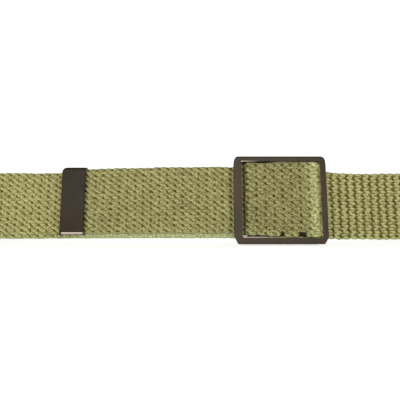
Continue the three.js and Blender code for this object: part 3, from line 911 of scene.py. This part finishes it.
def canvas_material():
    material, tree, shader = new_material(
        "canvas",
        Roughness=0.92,
        Specular_IOR_Level=0.1,
        Sheen_Weight=0.07,
        Sheen_Roughness=0.5,
        Sheen_Tint=(0.80, 0.86, 0.55, 1),
    )
    (u, v, right), _ = attribute(tree, "weave")
    (opened, smooth_and_lit, window), _ = attribute(tree, "look")
    _, tint = attribute(tree, "tint")
    (along, up, edge), _ = attribute(tree, "strap")
    place = add(tree, "ShaderNodeCombineXYZ", X=along, Y=up).outputs[0]

    # Which warp row a point is in, where in that row, and how its crown stands out
    row = v.node("FLOOR")
    t = (v - row) * 2 - 1
    odd = row.node("MODULO", 2.0)
    tone, shift, strength = crown_numbers(tree, u, row)
    waver = (noise(tree, place, WAVER_SCALE, 2.0) - 0.5) * CROWN_WAVER
    jitter = (shift - 0.5) * CROWN_SHIFT + waver
    shape, near, phase = crown_shape(u, row, t, odd, right, window, jitter)
    # glint: a painted highlight on the crown just beside each pit
    glint = (0.5 + 0.5 * cosine(phase - GLINT_PHASE)) ** 8.0 * (1 - right) * (1 - odd * 0.5)
    glint = glint * soft_step(t, -0.6, 0.4)

    # Pits between the crowns, deeper in every second row, the ribs' grooves and the dark places
    # beside
    # the tip, all painted dark as shade: the shade in pits and grooves, and the tip's painted
    # shadow
    sharpness = PIT_SHARPNESS + window * SHARPER_IN_WINDOW
    pit = (JUST_OVER_ONE - near) ** sharpness * (1 - t * t) * (1 - right)
    strong = DARK_AT_LEAST + strength * DARK_VARIES
    # Beside the metal the pits are painted darker, as shade, by opened
    in_painted_shade = DARKER_IN_PAINTED_SHADE + odd * ODD_DARKER_IN_PAINTED_SHADE
    pit_depth = (1 - odd) * strong + odd * ODD_PIT_DARK + opened * in_painted_shade
    groove = rib_groove(u + (tone - 0.5) * GROOVE_WANDER, right)
    mouth = 0.5 - 0.5 * cosine(v * math.pi)
    notched = soft_step(opened, 1.2, 1.8) * soft_step(mouth, 0.5, 0.8)
    notched = notched * soft_step(strength, 0.35, 0.5)
    grooved = groove * (mouth * strong * GROOVE_DARK + GROOVE_DARK_BETWEEN)
    dark = (pit * pit_depth + grooved + notched).clamped()

    # Loose yarn ends and strands, which slant with the crowns
    rough = noise(tree, place, FUZZ_SCALE, 2.0)
    strands = slanted_yarn(tree, along, up)
    # knobs: crowns right of the buckle painted lighter on top and darker between, as highlight and
    # shade
    knobs = (shape - KNOB_LEVEL) * right * KNOBS_SHADE
    grainy = window + right * GRAINY_ON_RIGHT
    fuzz = (rough - 0.5) * (FUZZ_SHADE + grainy * FUZZ_MORE_IF_GRAINY)
    height = shape + knobs + glint * GLINT_SHADE + (tone - 0.5) * TONE_SHADE
    height = height + fuzz + strands * (STRANDS_SHADE + grainy)

    # Colour: the yarn, painted darker where deep and lighter where raised as shade and light, then
    # pits painted as shade, blotches, pressed yarn with its painted light, the long edges,
    # speckles and the tint with its painted shade and light
    speckle = noise(tree, place, SPECKLE_SCALE, 2.0)
    grain = ramp(tree, speckle, SPECKLES)
    blotch = ramp(tree, noise(tree, place, BLOTCH_SCALE, 3.0), BLOTCHES)
    # The pale pressed colour is painted light on the smoother yarn
    pressed = mix_colour(tree, 0.6, PRESSED_AND_LIT_COLOUR, grain, "MULTIPLY")
    near_edge = soft_step(edge, EDGE_BEGINS, EDGE_FULL)
    colour = mix_colour(tree, dark, ramp(tree, height, YARN_COLOURS), PIT_SHADE_COLOUR)
    colour = mix_colour(tree, 1.0, colour, blotch, "MULTIPLY")
    colour = mix_colour(tree, smooth_and_lit * (1 - dark * 0.5), colour, pressed)
    colour = mix_colour(tree, near_edge, colour, EDGE_COLOUR)
    colour = mix_colour(tree, 1.0, colour, grain, "MULTIPLY")
    colour = mix_colour(tree, 1.0, colour, tint, "MULTIPLY")
    feed(tree, shader.inputs["Base Color"], colour)

    # Relief: the crowns and pits, and over them the yarn's slanted twist and loose fibres
    bent = along * TWIST_SLOPE + up + rough * TWIST_WANDER
    ridges = (bent * (2 * math.pi / TWIST_LENGTH)).cosine()
    lumps = speckle * LUMPS_HIGH + tone * TONE_HIGH
    relief = (shape - dark * PITS_DEEP) * (1 - smooth_and_lit * PRESSED_FLATTER) * CROWNS_HIGH
    relief = relief + ridges * TWIST_HIGH + rough + lumps + strands * STRANDS_HIGH
    add_bump(tree, shader, relief, CANVAS_BUMP, CANVAS_BUMP_STRENGTH)
    return material


# Dark plated metals, each from its darker to its lighter mottling, and a pale metal colour for
# painted highlights and a pale line
BRONZE = ((0.054, 0.042, 0.030), (0.074, 0.058, 0.042))
STEEL = ((0.019, 0.016, 0.0125), (0.027, 0.022, 0.017))
PALE_METAL = (0.84, 0.70, 0.62, 1)
STAINS = [(0.35, (1.08, 0.98, 0.90)), (0.65, (0.94, 1.0, 1.06))]
METAL_GRAIN = [(0.3, (0.9, 0.9, 0.9)), (0.7, (1.08, 1.08, 1.08))]
METAL_BUMP = 0.03 * MM
METAL_BUMP_STRENGTH = 0.25
CLOUD_SCALE = 160.0
STAIN_SCALE = 60.0
METAL_GRAIN_SCALE = 2600.0
ROUGHNESS_RANGE = 0.18
PALE_MARK_ROUGHER = 0.1


def metal_material(name, colours, roughness, pale_marks=None):
    """Dark plated metal with soft mottling. pale_marks(x, z, uneven) gives where it is painted
    pale.
    """
    material, tree, shader = new_material(name, Metallic=1.0)
    place = add(tree, "ShaderNodeTexCoord").outputs["Object"]
    cloud = noise(tree, place, CLOUD_SCALE, 4.0)
    hue = noise(tree, place, STAIN_SCALE, 2.0)
    fine = noise(tree, place, METAL_GRAIN_SCALE, 3.0)
    base = ramp(tree, cloud, list(zip((0.32, 0.72), colours)))
    base = mix_colour(tree, 1.0, base, ramp(tree, hue, STAINS), "MULTIPLY")
    base = mix_colour(tree, 1.0, base, ramp(tree, fine, METAL_GRAIN), "MULTIPLY")
    rough = cloud * ROUGHNESS_RANGE + (roughness - ROUGHNESS_RANGE / 2)
    if pale_marks:
        parts = add(tree, "ShaderNodeSeparateXYZ", Vector=place)
        x, z = (Wire(tree, parts.outputs[axis]) for axis in "XZ")
        pale_mark = pale_marks(x, z, (hue - 0.5) * MM)
        base = mix_colour(tree, pale_mark, base, PALE_METAL)
        rough = rough + pale_mark * PALE_MARK_ROUGHER
    feed(tree, shader.inputs["Base Color"], base)
    feed(tree, shader.inputs["Roughness"], rough)
    add_bump(tree, shader, fine, METAL_BUMP, METAL_BUMP_STRENGTH)
    return material


def highlight_on_tip(x, z, uneven):
    """A pale strip painted along the tip's lower bend as a highlight, and a fainter one under it.
    """
    low = tip_bottom + 0.65 * MM
    strip = band(z, low + 0.2 * MM, low + 0.6 * MM, 0.15 * MM) * 0.9
    strip = strip + (1 - soft_step(z, low - 0.1 * MM, low + 0.1 * MM)) * 0.25
    return strip * band(x + uneven * 0.3, TIP_LEFT + 1.1 * MM, TIP_RIGHT - 0.2 * MM, 0.4 * MM)


def pale_line_on_clamp(x, z, uneven):
    """A pale line along the clamp's lower part, which starts wide and ends in a lump."""
    line = band(z, BOTTOM_BAR, BOTTOM_BAR + 0.3 * MM, 0.15 * MM)
    lump = band(z + uneven, BOTTOM_BAR, BOTTOM_BAR + 1.2 * MM, 0.2 * MM)
    at_end = band(x, CLAMP_RIGHT - 1.6 * MM, CLAMP_RIGHT, 0.2 * MM)
    start = band(z, BOTTOM_BAR + 0.6 * MM, BOTTOM_BAR + 1.3 * MM, 0.1 * MM)
    start = start * band(x, window_left, window_left + 2.6 * MM, 0.3 * MM)
    return (line * (1 - at_end) + lump * at_end * 0.8 + start).clamped()


def highlight_on_frame(x, z, uneven):
    """A pale painted highlight at the window's upper left corner, which fades to the right."""
    edge = BOTTOM_BAR + window_height
    painted_highlight = band(z, edge - 0.1 * MM, edge + 0.15 * MM, 0.1 * MM)
    fading = 1 - soft_step(x, window_left + 2 * MM, window_left + 9 * MM)
    return painted_highlight * fading * soft_step(x, window_left - 0.2 * MM, window_left + 0.1 * MM) * 0.8


# The metal pieces: node, material, colours, roughness, where it is painted pale, and rounding
# of edges
FINISHES = [
    ("buckle_frame", "bronzed_metal", BRONZE, 0.55, highlight_on_frame, 0.3 * MM),
    ("end_clamp", "bronzed_clamp", BRONZE, 0.5, pale_line_on_clamp, 0.2 * MM),
    ("slide_bar", "dark_steel", STEEL, 0.45, None, 0),
    ("strap_tip", "dark_metal", STEEL, 0.35, highlight_on_tip, 0),
]
WELD_DISTANCE = 1e-6
FLAT_ANGLE = math.radians(1)
SHARP_ANGLE = math.radians(35)


def finish_node(name, material, rounding):
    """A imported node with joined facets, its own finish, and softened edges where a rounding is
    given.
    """
    node = nodes[name]
    node.data.materials.clear()
    node.data.materials.append(material)
    weld = node.modifiers.new("weld", "WELD")
    weld.merge_threshold = WELD_DISTANCE
    merge = node.modifiers.new("merge", "DECIMATE")
    merge.decimate_type = "DISSOLVE"
    merge.angle_limit = FLAT_ANGLE
    if rounding:
        soften = node.modifiers.new("soften", "BEVEL")
        soften.width = rounding
        soften.segments = 3
        soften.limit_method = "ANGLE"
        soften.angle_limit = SHARP_ANGLE
        soften.harden_normals = True


# Camera: in front and low, looking slightly up at the buckle's height
PHOTO_WIDTH = 400
PIXEL = 0.490 * MM
SENSOR_WIDTH = 36
CAMERA_DISTANCE = 145 * MM
CAMERA_HEIGHT = 4.8 * MM
AIM_HEIGHT = 21.45 * MM
strap_front_y = front_y - WEB_HALF
camera_data = bpy.data.cameras.new("camera")
camera_data.sensor_width = SENSOR_WIDTH
camera_data.lens = SENSOR_WIDTH * CAMERA_DISTANCE / (PHOTO_WIDTH * PIXEL)
camera_data.clip_start = 2 * MM
camera = bpy.data.objects.new("camera", camera_data)
camera.location = (0, strap_front_y - CAMERA_DISTANCE, CAMERA_HEIGHT)
aim = math.atan((AIM_HEIGHT - CAMERA_HEIGHT) / CAMERA_DISTANCE)
camera.rotation_euler = (math.pi / 2 + aim, 0, 0)
bpy.context.scene.collection.objects.link(camera)
bpy.context.scene.camera = camera

# Pieces
webbing = webbing_piece()
webbing.data.materials.append(canvas_material())
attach(webbing, "root")
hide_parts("webbing")

fibres = fibres_piece()
fibres.data.materials.append(fibre_material())
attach(fibres, "root")

for name, finish, colours, roughness, pale_marks, rounding in FINISHES:
    finish_node(name, metal_material(finish, colours, roughness, pale_marks), rounding)

# Floor and backdrop: one pale sheet just under the belt that curves up behind it
FLOOR_FRONT = -2.0
FLOOR_BACK = 1.6
FLOOR_CURVE = 0.8
FLOOR_TOP = 3.0
FLOOR_SIDE = 4
FLOOR_STEPS = 12
BELOW_BELT = 0.4 * MM


def floor_piece():
    profile = [(FLOOR_FRONT, 0.0)]
    for a in np.linspace(0, math.pi / 2, FLOOR_STEPS):
        profile.append((FLOOR_BACK + FLOOR_CURVE * math.sin(a), FLOOR_CURVE * (1 - math.cos(a))))
    profile.append((FLOOR_BACK + FLOOR_CURVE, FLOOR_TOP))
    sides = (-FLOOR_SIDE, FLOOR_SIDE)
    corners = [(side, y, z - BELOW_BELT) for y, z in profile for side in sides]
    faces = [(2 * k, 2 * k + 1, 2 * k + 3, 2 * k + 2) for k in range(len(profile) - 1)]
    return link_piece("floor", corners, faces)


pale, _, _ = new_material(
    "pale",
    Base_Color=(0.94, 0.94, 0.935, 1),
    Emission_Color=(1, 1, 1, 1),
    Emission_Strength=0.5,
    Roughness=0.9,
    Specular_IOR_Level=0.1,
)
floor = floor_piece()
floor.data.materials.append(pale)

# Soft lights that face the middle of the belt's front: name, place, size and power
LIGHT_TARGET = (0.0, -0.1, 0.02)
LIGHTS = [
    ("front_key", (-0.15, -1.1, 0.36), (1.0, 0.6), 4.2),
    ("low_fill", (-0.1, -0.9, 0.06), (1.0, 0.1), 1.2),
]
WORLD_STRENGTH = 0.45


def area_light(name, place, size, power):
    data = bpy.data.lights.new(name, "AREA")
    data.shape = "RECTANGLE"
    data.size, data.size_y = size
    data.energy = power
    light = bpy.data.objects.new(name, data)
    light.location = place
    back = np.array(place) - np.array(LIGHT_TARGET)
    tilt = math.atan2(math.hypot(back[0], back[1]), back[2])
    light.rotation_euler = (tilt, 0, math.atan2(back[1], back[0]) + math.pi / 2)
    bpy.context.scene.collection.objects.link(light)


for each in LIGHTS:
    area_light(*each)
world = bpy.data.worlds.new("world")
bpy.context.scene.world = world
world.use_nodes = True
background = world.node_tree.nodes["Background"]
background.inputs["Color"].default_value = (1, 1, 1, 1)
background.inputs["Strength"].default_value = WORLD_STRENGTH
bpy.context.scene.view_settings.view_transform = "Standard"
